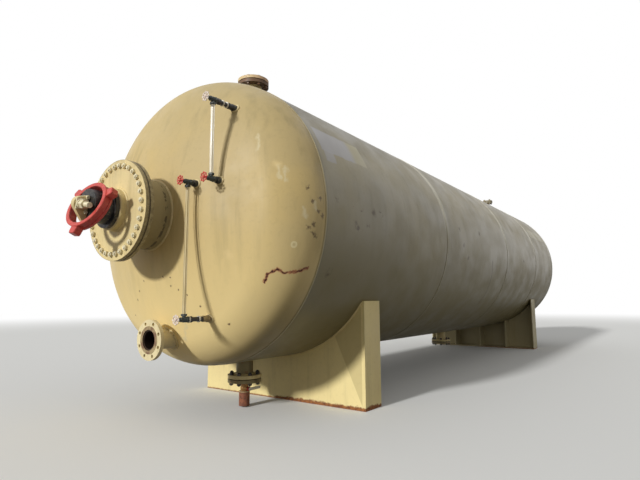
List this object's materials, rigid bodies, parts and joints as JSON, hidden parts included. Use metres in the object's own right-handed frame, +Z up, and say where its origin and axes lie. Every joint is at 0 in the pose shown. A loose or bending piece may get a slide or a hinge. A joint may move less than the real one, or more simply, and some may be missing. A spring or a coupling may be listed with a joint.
{
  "type": "horizontal pressure tank",
  "caption": "Horizontal welded pressure tank with dished heads, bolted manway, lugged screw closure, level gauges and flanged nozzles, on two steel saddles.",
  "frame": {"origin": "middle of the front saddle's base plate, on the ground", "axes": "+X from the manway end along the vessel to the plain rear head, +Z up"},
  "size_m": [7.5375, 1.8328, 2.3965],
  "materials": {
    "paint": "matt weathered tan paint",
    "bolts": "studs and nuts painted over with the vessel",
    "dark_steel": "black paint on fittings",
    "red_paint": "faded red paint",
    "rusty_steel": "bare rusty steel",
    "gauge_glass": "clouded gauge glass",
    "white_paint": "worn white paint",
    "gasket": "compressed sheet gasket"
  },
  "bodies": {
    "vessel": {"front_head": "paint", "shell_course_1": "paint", "shell_course_2": "paint", "shell_course_3": "paint", "shell_course_4": "paint", "rear_head": "paint", "manway_neck": "paint", "manway_flange": "paint", "manway_gasket": "gasket", "manway_blind": "paint", "manway_studs": "bolts", "closure_neck": "paint", "closure_hub": "dark_steel", "closure_barrel": "dark_steel", "closure_end_plate": "dark_steel", "closure_cap": "paint", "closure_bolt": "bolts", "gauge_bosses": "paint", "gauge_arms": "dark_steel", "gauge_valves": "dark_steel", "gauge_tubes": "gauge_glass", "gauge_rods": "white_paint", "outlet_neck": "paint", "outlet_flange": "paint", "drain_neck": "paint", "drain_flange": "paint", "drain_blind": "paint", "drain_studs": "dark_steel", "drain_valve": "rusty_steel", "drain_stub": "rusty_steel", "rear_drain_neck": "paint", "rear_drain_flange": "paint", "rear_drain_blind": "paint", "rear_drain_studs": "dark_steel", "top_neck": "paint", "top_flange": "paint", "top_blind": "rusty_steel", "top_studs": "bolts", "small_neck": "paint", "small_flange": "paint", "small_blind": "rusty_steel", "small_studs": "bolts", "front_saddle_web": "paint", "front_saddle_ribs": "paint", "front_saddle_base": "paint", "rear_saddle_web": "paint", "rear_saddle_ribs": "paint", "rear_saddle_base": "paint"},
    "closure_nut": {"closure_ring": "red_paint"},
    "upper_top_wheel": {"wheel_upper_top": "white_paint"},
    "upper_bottom_wheel": {"wheel_upper_bottom": "red_paint"},
    "lower_top_wheel": {"wheel_lower_top": "red_paint"},
    "lower_bottom_wheel": {"wheel_lower_bottom": "white_paint"},
    "lever": {"drain_lever": "white_paint"}
  },
  "joints": [
    {"name": "closure_nut_turn", "type": "hinge", "parent": "vessel", "child": "closure_nut", "pos_m": [-1.5757, 0.00086, 1.2095], "axis": [-0.9063, -0.1376, 0.3996], "range_deg": [0, 360]},
    {"name": "upper_top_valve_turn", "type": "hinge", "parent": "vessel", "child": "upper_top_wheel", "pos_m": [-1.24849, -0.505, 1.792], "axis": [-1, 0, 0], "range_deg": [0, 720]},
    {"name": "upper_bottom_valve_turn", "type": "hinge", "parent": "vessel", "child": "upper_bottom_wheel", "pos_m": [-1.24849, -0.505, 1.355], "axis": [-1, 0, 0], "range_deg": [0, 720]},
    {"name": "lower_top_valve_turn", "type": "hinge", "parent": "vessel", "child": "lower_top_wheel", "pos_m": [-1.28783, -0.364, 1.351], "axis": [-1, 0, 0], "range_deg": [0, 720]},
    {"name": "lower_bottom_valve_turn", "type": "hinge", "parent": "vessel", "child": "lower_bottom_wheel", "pos_m": [-1.28783, -0.364, 0.62], "axis": [-1, 0, 0], "range_deg": [0, 720]},
    {"name": "drain_lever_turn", "type": "hinge", "parent": "vessel", "child": "lever", "pos_m": [-0.433, -0.056, 0.1215], "axis": [0, 1, 0], "range_deg": [0, 90]}
  ]
}
